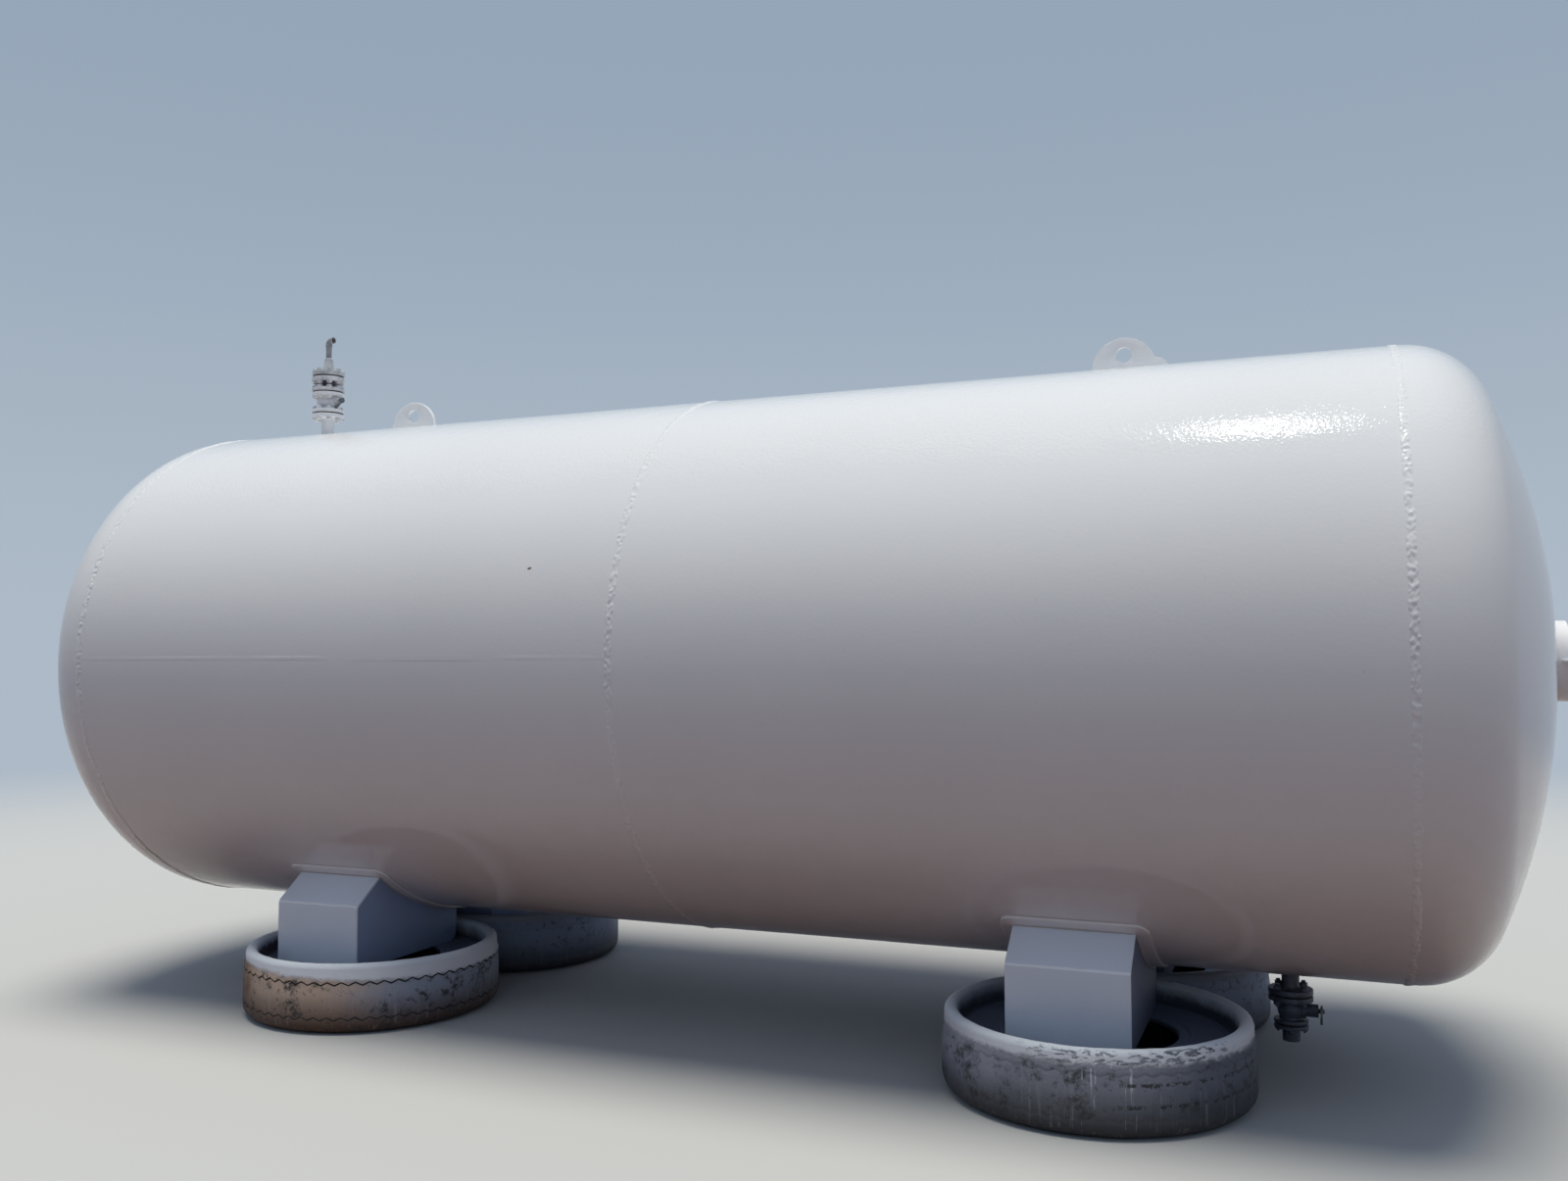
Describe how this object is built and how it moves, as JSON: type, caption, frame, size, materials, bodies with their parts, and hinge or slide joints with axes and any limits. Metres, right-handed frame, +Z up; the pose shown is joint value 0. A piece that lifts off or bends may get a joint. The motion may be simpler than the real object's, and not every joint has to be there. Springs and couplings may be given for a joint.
{
  "type": "horizontal pressure tank",
  "caption": "Horizontal steel pressure tank with dished ends on four folded plate legs set in old tyres, with lifting lugs, a relief stack, a drain valve and a gauge collar.",
  "frame": {"origin": "on the ground, under the middle of the overall box", "axes": "+X along the tank's axis towards the end with the gauge collar, +Y from the pictured side to the far side, +Z up"},
  "size_m": [6.0966, 2.208, 3.042],
  "materials": {
    "white_enamel": "glossy white enamel with light orange peel and brushed-over welds",
    "grey_primer": "satin grey primer with white overspray",
    "tyre_rubber": "worn truck tyre dusted with paint overspray and dried mud",
    "gasket": "matt black sheet gasket"
  },
  "bodies": {
    "tank": {"shell_left": "white_enamel", "shell_right": "white_enamel", "head_left": "white_enamel", "head_right": "white_enamel", "girth_weld_left": "white_enamel", "girth_weld_middle": "white_enamel", "girth_weld_right": "white_enamel", "seam_weld_left": "white_enamel", "seam_weld_right": "white_enamel", "leg_plate_near_left": "white_enamel", "leg_plate_near_right": "white_enamel", "leg_plate_far_left": "white_enamel", "leg_plate_far_right": "white_enamel", "leg_box_near_left": "white_enamel", "leg_box_near_right": "white_enamel", "leg_box_far_left": "white_enamel", "leg_box_far_right": "white_enamel", "leg_pad_near_left": "white_enamel", "leg_pad_near_right": "white_enamel", "leg_pad_far_left": "white_enamel", "leg_pad_far_right": "white_enamel", "lifting_lug_left": "white_enamel", "lifting_lug_right": "white_enamel", "relief_nozzle": "white_enamel", "relief_valve": "white_enamel", "drain_nozzle": "white_enamel", "gauge_collar": "white_enamel", "gauge_hinge_lugs": "white_enamel", "relief_neck": "grey_primer", "vent_flange": "grey_primer", "vent_pipe": "grey_primer", "vent_elbow": "grey_primer", "drain_valve": "grey_primer", "drain_tail": "grey_primer", "gauge_flange": "grey_primer", "relief_gaskets": "gasket", "drain_gaskets": "gasket", "tyre_near_left": "tyre_rubber", "tyre_near_right": "tyre_rubber", "tyre_far_left": "tyre_rubber", "tyre_far_right": "tyre_rubber"},
    "relief_lever": {"relief_lever": "grey_primer"},
    "drain_lever": {"drain_lever": "grey_primer"}
  },
  "joints": [
    {"name": "relief_lever_turn", "type": "hinge", "parent": "tank", "child": "relief_lever", "pos_m": [-2.1505, 0, 2.723], "axis": [-1, 0, 0], "range_deg": [-45, 45]},
    {"name": "drain_lever_turn", "type": "hinge", "parent": "tank", "child": "drain_lever", "pos_m": [2.2545, 0, 0.195], "axis": [1, 0, 0], "range_deg": [0, 90]}
  ]
}
